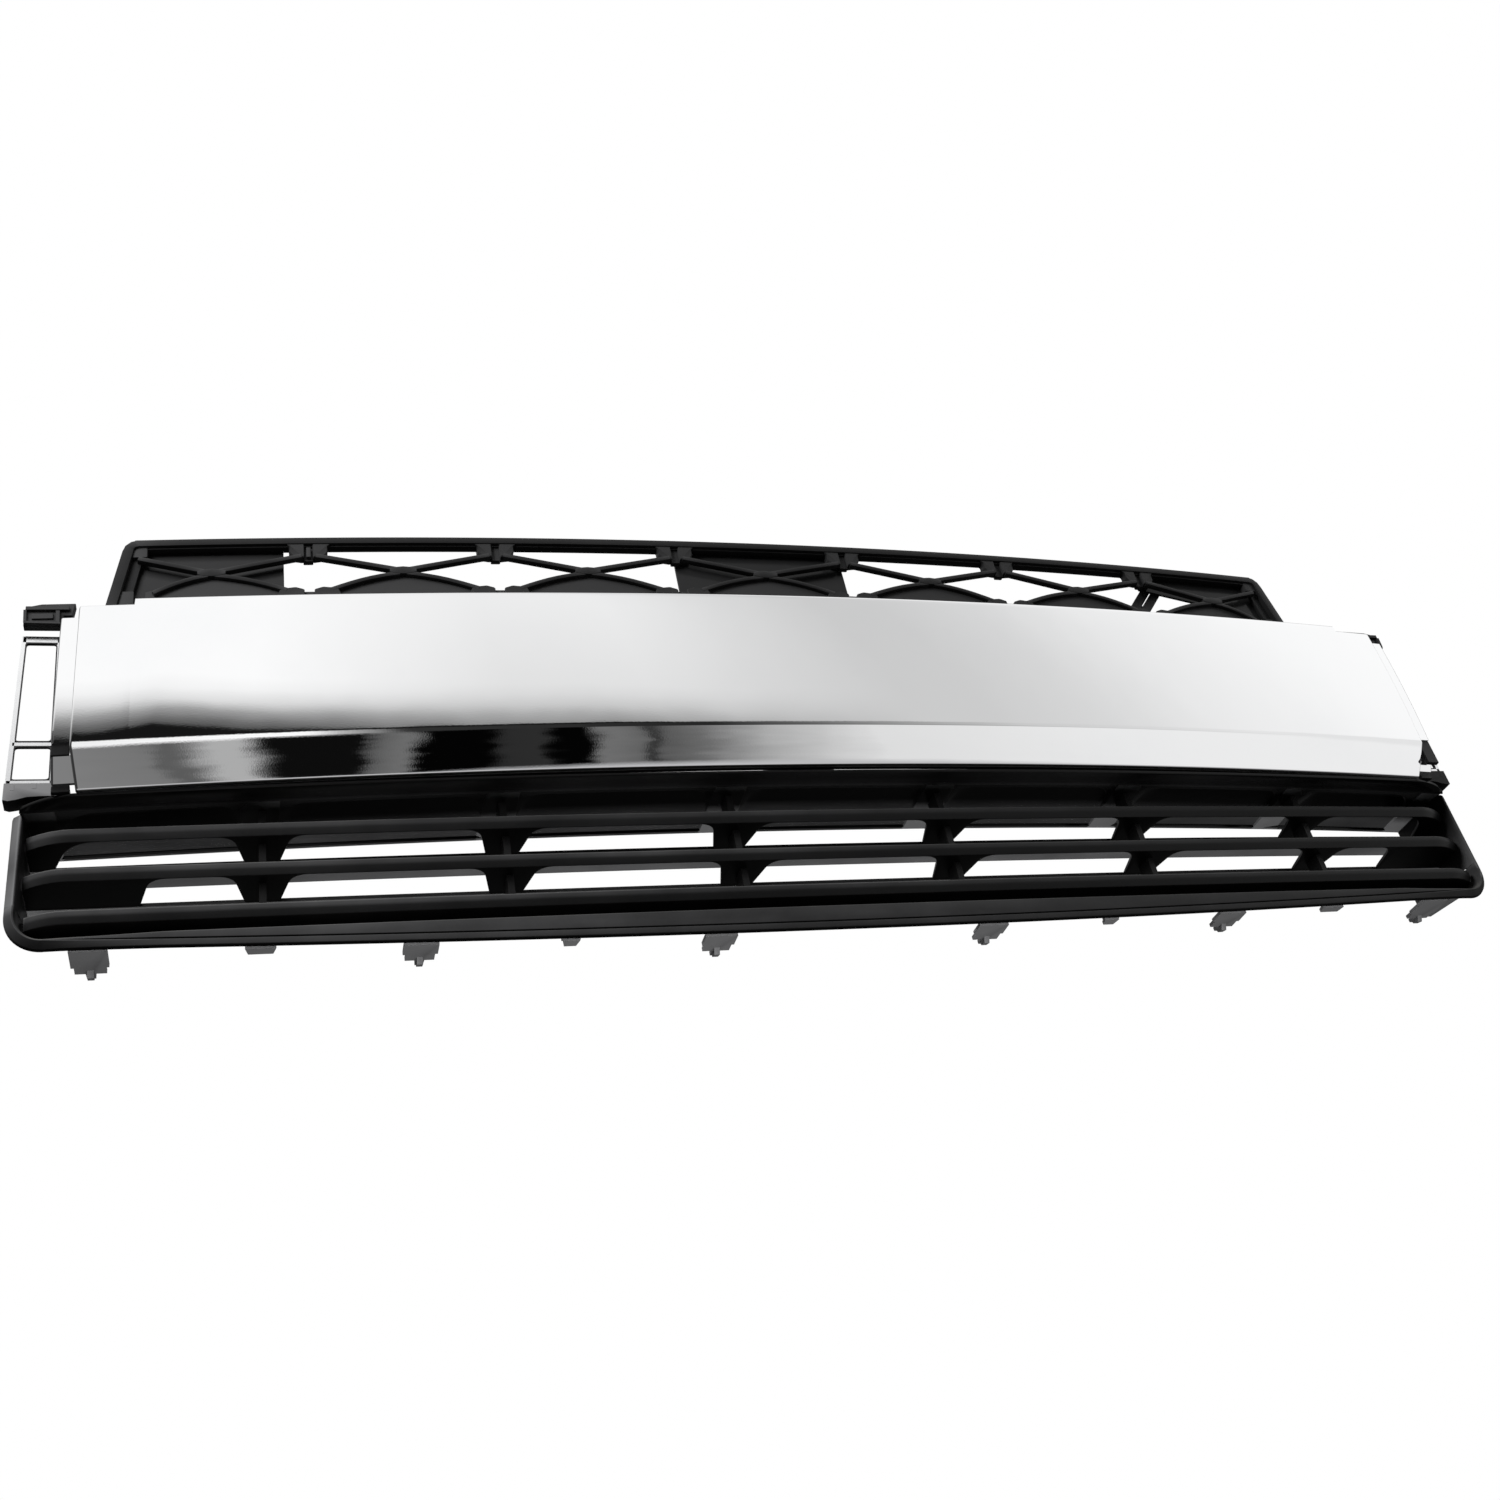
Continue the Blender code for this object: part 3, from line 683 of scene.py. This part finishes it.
def make_bottom_rail():
    """Bottom moulding: a grooved band with a shelf behind it, whose ends turn up as a rounded rim."""
    edge = (-0.1355, 0.0255)
    centre_x, centre_h = FRAME_HALF - CORNER, edge[0] + CORNER

    def section(tall, shelf, wall, heel, flat):
        """(setback, distance in from the outer edge); flat is 0 for the rim and 1 for the band."""

        def between(rim, band):
            return rim + (band - rim) * flat

        groove = between(RIM - 0.0022, 0.0052)
        corners = [
            (between(0.0430, 0.0400), 0.0, between(0.0016, 0.0010)),
            (between(0.0406, 0.0370), 0.0008, 0.0010),
            (0.0364, groove, between(0.0016, 0.0003)),
            (0.0364 + between(0.0004, 0.0014), groove + 0.0005, 0.0002),
            (between(0.0372, 0.0360), groove + 0.0011, 0.0003),
            (between(0.0385, 0.0358), tall - 0.0004, between(0.0003, 0.0010)),
            (between(0.0410, 0.0372), tall + between(0.0, 0.0002), 0.0006),
            (0.0610, shelf, 0.0006),
            (0.0610, wall, 0.0003),
            (0.0650, wall, 0.0003),
            (0.0650, heel, 0.0006),
        ]
        return fillet(corners, 3)

    def straight(x):
        low = dipped(x, *edge)
        tall = dipped(x, -0.1280, 0.0140) - low
        taper = min(1.0, max(0.0, (centre_x - abs(x)) / 0.075)) ** 0.6
        tall = RIM + (tall - RIM) * taper
        back = dipped(x, *LOUVRES["louvre_lower"]) - 0.0060 - low
        heel = min(0.0190, back - 0.001)
        shelf = max(tall, 0.85 * heel + 0.0015)
        outline = section(tall, shelf, max(shelf + 0.003, back), heel, taper)
        return [(x, bow(x, s), CREASE_Z + low + d) for s, d in outline]

    def corner(sign, degrees, lift=0.0):
        sweep = math.radians(degrees)
        share = math.cos(sweep)
        low = dipped(centre_x, *edge) - edge[0]
        shelf = RIM + 0.0010 + 0.0060 * share
        outline = section(RIM, shelf, 0.0262 - 0.0100 * share, 0.0020 + 0.0120 * share, 0.0)
        ring = []
        for s, d in outline:
            x = centre_x + (CORNER - d) * math.sin(sweep)
            height = centre_h + low * share - (CORNER - d) * math.cos(sweep) + lift
            ring.append((sign * x, bow(x, s), CREASE_Z + height))
        return ring

    turn = spaced(2, 90, 15)
    rise = -0.1034 - centre_h
    rings = [corner(-1, 90, rise), *[corner(-1, a) for a in turn[::-1]]]
    rings += [straight(x) for x in spaced(-centre_x, centre_x, 110)]
    rings += [*[corner(1, a) for a in turn], corner(1, 90, rise)]
    bm = bmesh.new()
    skin(bm, rings)
    piece("frame_bottom_moulding", bm, "black_plastic", ["frame_bottom_rail"])


def make_side(side, sign):
    """Side wall with a rolled front rim and an underside that rises rearwards."""
    outer, inner = FRAME_HALF, LOUVRE_HALF + 0.0004
    levels = ((-0.0283, 0.004), (-0.0292, 0.0015), (-0.0310, 0), (-0.070, 0), (-0.1031, 0))
    rings = []
    for height, draw in levels:
        front = 0.0362 + draw
        corners = [
            (inner, BLADE_REAR, 0.0008),
            (inner, front + 0.0180, 0.0060),
            (outer - RIM, front + 0.0046, 0.0008),
            (outer - RIM + 0.0016, front + 0.0002, 0.0016),
            (outer - 0.0008, front + 0.0044, 0.0010),
            (outer, front + 0.0068, 0.0016),
            (outer, BLADE_REAR, 0.0008),
        ]
        ring = []
        for x, s in fillet([(sign * x, s, r) for x, s, r in corners], 4):
            underside = -0.080 - (0.107 - s) * 0.6
            ring.append((x, bow(x, s), CREASE_Z + max(height, underside)))
        rings.append(ring)
    bm = bmesh.new()
    skin(bm, rings)
    piece(f"frame_side_moulding_{side}", bm, "black_plastic", [f"frame_side_{side}"])


def make_heel():
    """Wedge under the right side wall, which runs on behind it."""
    outer, inner = FRAME_HALF, LOUVRE_HALF + 0.0004
    near, far = 0.0560, 0.1245
    rings = []
    for near_height, far_height in ((-0.1040, -0.0710), (-0.1185, -0.1100)):
        corners = ((inner, near, near_height), (outer, near, near_height))
        corners += ((outer, far, far_height), (inner, far, far_height))
        rings.append([(x, CREASE_Y + depth, CREASE_Z + height) for x, depth, height in corners])
    bm = bmesh.new()
    skin(bm, rings)
    piece("frame_heel_right", bm, "black_plastic")


# Upper lattice


def end_x(height, inset=0.0):
    """Half width of the lattice's sloping end at a height, less an inset."""
    share = (END_TOP[1] - height) / (END_TOP[1] - END_FOOT[1])
    return END_TOP[0] + (END_FOOT[0] - END_TOP[0]) * share - inset


def make_lattice():
    """Rails and sloping ends, diagonal bars that meet between the posts, plates below them, and posts
    with their blocks and gussets."""
    bm = bmesh.new()
    near, far = LATTICE_FRONT, LATTICE_FRONT + 0.0100
    top_half = end_x(0.2645, 0.0085)
    strut(bm, line((-top_half, 0.2643), (top_half, 0.2643), 60), 0.0034, near, far)
    strut(bm, line((-end_x(0.19), 0.190), (end_x(0.19), 0.190), 60), 0.0040, near + 0.002, far)
    for sign in (-1, 1):
        turn = [(0.2643, 0.0110), (0.2630, 0.0072), (0.2600, 0.0050)]
        turn += [(height, 0.0045) for height in spaced(0.2550, 0.1865, 5)]
        ends = [(sign * end_x(height, inset), height) for height, inset in turn]
        strut(bm, ends, [0.0034, 0.0036, 0.0039, *[0.0042] * 5], near, far + 0.001)
        strut(bm, [(x - sign * 0.0080, h) for x, h in ends], 0.0046, near + 0.0055, far)
        for height, tall in ((0.2560, 0.0055), (0.2060, 0.0070)):
            x = sign * end_x(height, 0.0135)
            strut(bm, [(x, height - tall), (x, height + tall)], 0.0062, near + 0.0022, far)
    edges = [-end_x(0.250, 0.008), *POSTS, end_x(0.250, 0.008)]
    feet = [-end_x(0.208, 0.016), *POSTS, end_x(0.208, 0.016)]
    for node, left, right, foot_left, foot_right in zip(NODES, edges, edges[1:], feet, feet[1:]):
        for post, foot, sign in ((left, foot_left, -1), (right, foot_right, 1)):
            rise = line((node + sign * 0.005, 0.2318), (post - sign * 0.006, 0.2478), 6)
            strut(bm, rise, 0.0021, near + 0.0005, near + 0.0065)
            fall = line((node + sign * 0.003, 0.2275), (foot - sign * 0.018, 0.2100), 8)
            sag = [(x, h + 0.0022 * math.sin(math.pi * i / 7)) for i, (x, h) in enumerate(fall)]
            strut(bm, sag, 0.0020, near + 0.0005, near + 0.0065)
        blob = [(node + t * 0.0110, 0.2300) for t in spaced(-1, 1, 5)]
        strut(bm, blob, [0.0020, 0.0036, 0.0042, 0.0036, 0.0020], near, near + 0.0068)
        rings = []
        for x in spaced(foot_left + 0.012, foot_right - 0.012, 12):
            share = 1 - abs(x - node) / max(foot_right - node, node - foot_left)
            top = 0.2060 + 0.0222 * max(0.0, share)
            corners = ((0.0045, 0.190), (0.0045, top), (0.0065, top), (0.0065, 0.190))
            rings.append([(x, bow(x, near + s), CREASE_Z + h) for s, h in corners])
        skin(bm, rings)
    for post in POSTS:
        for sign in (-1, 1):
            block = [
                (post + sign * 0.0035, 0.2465, 0.0010),
                (post + sign * 0.0130, 0.2478, 0.0030),
                (post + sign * 0.0157, 0.2520, 0.0030),
                (post + sign * 0.0157, 0.2590, 0.0025),
                (post + sign * 0.0190, 0.2625, 0.0010),
                (post + sign * 0.0035, 0.2625, 0.0010),
            ]
            plate(bm, fillet(block, 2), near + 0.0010, far)
            gusset = [
                (post + sign * 0.0040, 0.1960, 0.0010),
                (post + sign * 0.0040, 0.2105, 0.0015),
                (post + sign * 0.0110, 0.2132, 0.0040),
                (post + sign * 0.0230, 0.2115, 0.0030),
                (post + sign * 0.0290, 0.1960, 0.0010),
            ]
            plate(bm, fillet(gusset, 2), near + 0.0008, far)
        strut(bm, [(post, 0.2450), (post, 0.2620)], 0.0040, near + 0.0050, far)
        strut(bm, [(post, 0.1960), (post, 0.2098)], 0.0045, near + 0.0040, far)
    pin = [(POSTS[0], 0.2470), (POSTS[0], 0.2575)]
    strut(bm, pin, 0.0018, near + 0.0015, near + 0.0055, 0.0006)
    for left, right in zip([-end_x(0.26, 0.010), *POSTS], [*POSTS, end_x(0.26, 0.010)]):
        strut(bm, line((left, 0.2606), (right, 0.2606), 14), 0.0012, near + 0.0030, far + 0.0005)
    piece("upper_lattice_grid", bm, "black_plastic", ["upper_lattice"])


def make_brace():
    """Diagonal brace behind the lattice: two flat bars joined by cross webs."""
    low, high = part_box("lattice_brace")
    near, far = low.y - CREASE_Y, high.y - CREASE_Y
    start = Vector((low.x + 0.0075, low.z - CREASE_Z + 0.0050))
    end = Vector((high.x - 0.0135, high.z - CREASE_Z - 0.0045))
    along = (end - start).normalized()
    gap = Vector((along.y, -along.x)) * 0.0100
    bm = bmesh.new()
    bar(bm, start, end, 0.0045, near, far, 0.0007)
    bar(bm, start + gap, end + gap, 0.0045, near, far, 0.0007)
    for share in (0.06, 0.50, 0.94):
        middle = start.lerp(end, share)
        bar(bm, middle, middle + gap, 0.0030, near + 0.002, far - 0.001, 0.0007)
    piece("lattice_brace_bars", bm, "black_plastic", ["lattice_brace"])


make_panel()
make_flanges()
make_end_pieces()
make_top_rail()
make_louvres()
make_bottom_rail()
make_side("left", -1)
make_heel()
make_side("right", 1)
make_lattice()
make_brace()


# Studio: a pale floor, a white backdrop, dark stands and walls for the chrome to reflect, and soft lights


FLOOR_Z = cad_box[0].z - 0.85


def make_floor():
    """Pale floor, which neither the chrome nor the shaded sides pick up."""
    bm = bmesh.new()
    bmesh.ops.create_grid(bm, x_segments=1, y_segments=1, size=9.0)
    mesh = bpy.data.meshes.new("studio_floor")
    bm.to_mesh(mesh)
    bm.free()
    n = Nodes(bpy.data.materials.new("studio_floor"))
    paint = n.blend(n.span(n.noise(1.5, 4.0), 0.0, 0.4), (0.80, 0.80, 0.80, 1), (0.74, 0.74, 0.735, 1))
    mesh.materials.append(n.finish(Base_Color=paint, Roughness=n.span(n.noise(6.0), 0.5, 0.7)))
    floor = bpy.data.objects.new("studio_floor", mesh)
    floor.location.z = FLOOR_Z
    floor.visible_glossy = False
    floor.visible_diffuse = False
    bpy.context.scene.collection.objects.link(floor)


# Brightness by bearing in degrees, from straight ahead (-Y) towards +X: of the low stands, of what is
# above them up to the walls, and of the walls on the far right
LOW_STANDS = [
    (-40, 0.03), (-24, 0.05), (-19, 0.22), (-13.5, 0.18), (-12.5, 0.10), (-11.5, 0.12), (-10, 0.42),
    (-8.4, 0.42), (-7.4, 0.05), (-7, 0.004), (-2.5, 0.004), (-1.6, 0.11), (0.4, 0.16), (1, 0.001),
    (4.8, 0.001), (5.4, 0.024), (7.8, 0.026), (8.1, 0.001), (10.2, 0.001), (10.9, 0.165), (13, 0.12),
    (13.6, 0.015), (14.3, 0.10), (16, 0.14), (20.5, 0.44), (26, 0.74), (40, 0.85), (60, 0.88),
]
HORIZON = [
    (-40, 0.03), (-26, 0.05), (-19, 0.85), (-8, 1.0), (-5, 1.0), (-3, 0.35), (0, 0.03), (16, 0.02),
    (21, 0.12), (27, 0.36), (33, 0.6), (45, 0.8), (60, 0.8),
]
FAR_WALL = [(-20, 0.85), (20, 0.60), (32, 0.62), (38, 0.70), (44, 0.84), (54, 0.97), (60, 1.0)]
# Height where the walls begin (sine of the elevation) by bearing, and their brightness above it
SKIRTING = [
    (-20, 0.500), (-16, 0.501), (-12.8, 0.514), (-8, 0.498), (-1, 0.490), (10, 0.4875), (18, 0.470),
]
LEFT_WALL = [
    (0.0, 0.008), (0.0045, 0.10), (0.015, 0.165), (0.022, 0.24), (0.032, 0.34), (0.043, 0.56),
    (0.053, 0.74), (0.075, 0.93), (0.100, 1.0),
]
FRONT_WALL = [
    (0.0, 0.008), (0.002, 0.05), (0.008, 0.30), (0.024, 0.42), (0.042, 0.60), (0.064, 0.72),
    (0.086, 0.78), (0.25, 0.87),
]


def make_world():
    """White backdrop for the camera, a studio with dark stands low down on the left for reflections, and
    weak light from above for the shaded sides."""
    n = Nodes(bpy.data.worlds.new("studio"), "Generated")
    bpy.context.scene.world = n.owner
    axes = n.add("ShaderNodeSeparateXYZ", {"Vector": n.place}).outputs
    ahead = n.sum(axes["Y"], -1.0, "MULTIPLY")
    bearing = n.sum(n.sum(axes["X"], ahead, "ARCTAN2"), math.degrees(1.0), "MULTIPLY")
    waver = n.sum(n.sum(n.noise(16.0, 3.0), -0.5), 2.6, "MULTIPLY")
    # Heights as seen by the walls and by the stands, whose edges slope towards the right
    rightward = n.sum(bearing, 0.0, "MAXIMUM")
    raised = n.sum(axes["Z"], n.sum(n.sum(rightward, rightward, "MULTIPLY"), 0.000038, "MULTIPLY"))
    raised = n.sum(raised, n.sum(n.sum(n.noise(3.0, 1.0), -0.5), 0.006, "MULTIPLY"))
    sunk = n.sum(axes["Z"], n.sum(rightward, -0.0027, "MULTIPLY"))

    above = n.sum(raised, n.ramp(bearing, SKIRTING), "SUBTRACT")
    left, front = n.ramp(above, LEFT_WALL), n.ramp(above, FRONT_WALL)
    wall = n.blend(n.span(bearing, 0.0, 1.0, -8.0, 6.0), left, front)
    wall = n.blend(n.span(bearing, 0.0, 1.0, 14.0, 28.0), wall, n.ramp(bearing, FAR_WALL))
    turned = n.sum(n.sum(sunk, 0.56), n.sum(rightward, 0.95, "MULTIPLY"), "MULTIPLY")
    stands = n.ramp(n.sum(n.sum(bearing, waver), turned), LOW_STANDS)
    horizon = n.ramp(bearing, HORIZON)
    level = n.blend(n.span(sunk, 0.0, 1.0, -0.462, -0.446), stands, horizon)
    level = n.blend(n.span(raised, 0.0, 1.0, 0.470, 0.480), level, wall)
    level = n.blend(n.span(sunk, 1.0, 0.0, -0.72, -0.69), level, grey(0.5))
    behind = n.ramp(axes["Z"], [(-1.0, 0.03), (0.2, 0.08), (0.7, 0.35), (1.0, 0.9)])
    level = n.blend(n.span(ahead, 1.0, 0.0, -0.05, 0.15), level, behind)
    soft = n.ramp(axes["Z"], [(-1.0, 0.01), (0.0, 0.04), (0.6, 0.30), (1.0, 0.45)])

    path = n.add("ShaderNodeLightPath").outputs
    level = n.blend(path["Is Diffuse Ray"], level, soft)
    level = n.blend(path["Is Camera Ray"], level, (1, 1, 1, 1))
    n.set(n.tree.nodes["Background"].inputs["Color"], level)


def make_light(name, place, aim, size, power, lit):
    """Softbox that the polished parts don't mirror, for the pieces whose names start with one of lit."""
    data = bpy.data.lights.new(name, "AREA")
    data.shape = "RECTANGLE"
    data.size, data.size_y = size
    data.energy = power
    item = bpy.data.objects.new(name, data)
    item.location = place
    item.rotation_euler = (Vector(aim) - Vector(place)).to_track_quat("-Z", "Y").to_euler()
    item.visible_glossy = False
    receivers = bpy.data.collections.new(f"{name}_lit")
    for lit_object in bpy.data.objects:
        if lit_object.type == "MESH" and lit_object.name.startswith(lit):
            receivers.objects.link(lit_object)
    item.light_linking.receiver_collection = receivers
    bpy.context.scene.collection.objects.link(item)


TAB_PIECES = ("bottom_tab", "locator", "frame_heel")
LOWER_PIECES = ("frame_bottom", "frame_side", "louvre_", "lower_bracket", "bottom_tab", "locator")
UPPER_PIECES = ("upper_", "lattice_", "end_bracket", "mount_bracket", "chrome_carrier")
REAR_PIECES = (
    "louvre_upper_rear", "louvre_middle_rear", "frame_top_skin", "mount_bracket", "chrome_carrier",
)


def make_camera():
    data = bpy.data.cameras.new("camera")
    data.lens = 38.4
    data.sensor_width = 36.0
    camera = bpy.data.objects.new("camera", data)
    right = Vector((0.9545, -0.2391, -0.1781))
    up = Vector((0.0033, -0.5888, 0.8084))
    forward = Vector((0.2981, 0.7722, 0.5612))
    turn = Matrix((right, up, -forward)).transposed().to_4x4()
    camera.matrix_world = Matrix.Translation((-0.4455, -1.0563, -0.7682)) @ turn
    bpy.context.scene.collection.objects.link(camera)
    bpy.context.scene.camera = camera


make_floor()
make_world()
make_light("left_softbox", (-0.97, -0.60, 0.64), (-0.3, -0.05, -0.1), (0.5, 0.5), 80, LOWER_PIECES)
make_light("top_softbox", (-1.05, -0.75, 0.60), (-0.3, -0.05, 0.2), (0.5, 0.5), 14, UPPER_PIECES)
make_light("back_softbox", (0.0, 0.75, -0.95), (0.0, 0.0, -0.15), (1.6, 0.4), 75, REAR_PIECES)
make_light("tab_softbox", (0.0, -0.9, -0.9), (0.0, 0.0, -0.15), (1.8, 0.5), 60, TAB_PIECES)
make_camera()
bpy.context.scene.view_settings.view_transform = "Standard"
